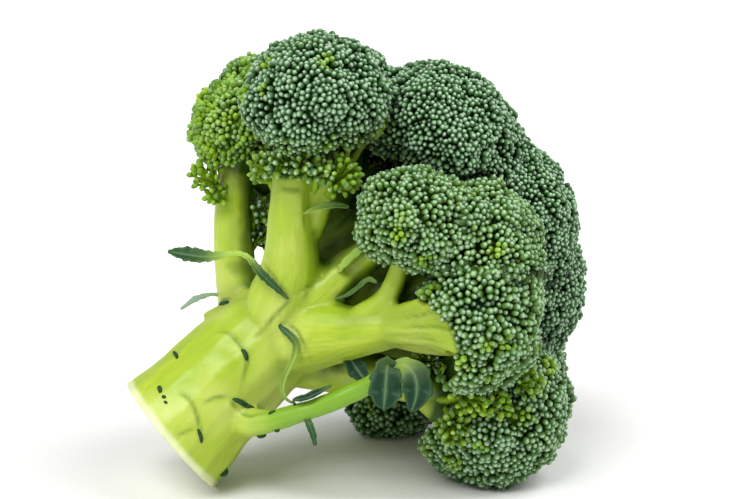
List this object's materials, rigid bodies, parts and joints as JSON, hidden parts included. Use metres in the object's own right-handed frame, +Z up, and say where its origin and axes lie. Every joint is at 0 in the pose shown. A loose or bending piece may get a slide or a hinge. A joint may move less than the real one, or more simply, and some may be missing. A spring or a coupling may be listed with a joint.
{
  "type": "broccoli head",
  "caption": "Fresh broccoli head lying on its side, with a thick cut stalk, branching limbs, domed clusters of tight green buds and a few small leaves.",
  "frame": {"origin": "on the surface that the head lies on, under the middle of its box", "axes": "+Z up; +X runs from the cut stem towards the crown; +Y runs away from the side on which the stem and limbs show best"},
  "size_m": [0.1566, 0.1464, 0.1538],
  "materials": {
    "stalk": "smooth waxy skin, pale yellow-green, paler where it is cut",
    "buds": "tight matt buds, dark blue-green, yellow-green between the clusters",
    "leaf": "thin matt leaf, dark green with a pale midrib"
  },
  "bodies": {
    "root": {"stalk": "stalk", "floret_left": "buds", "floret_left_back": "buds", "floret_back_left": "buds", "floret_top": "buds", "floret_crown_upper": "buds", "floret_crown_middle": "buds", "floret_crown_lower": "buds", "floret_front_upper": "buds", "floret_front_middle": "buds", "floret_front_right": "buds", "floret_base_front": "buds", "floret_base_back": "buds", "floret_base_right": "buds", "floret_back_top": "buds", "floret_back_upper": "buds", "floret_back_lower": "buds", "floret_back_side": "buds", "floret_back_deep": "buds", "leaf_curled": "leaf", "leaf_low_left": "leaf", "leaf_low_right": "leaf", "leaf_pale": "leaf", "leaf_clasping": "leaf", "leaf_scar": "leaf", "leaf_folded": "leaf", "leaf_hanging": "leaf", "leaf_bract": "leaf"}
  },
  "joints": []
}
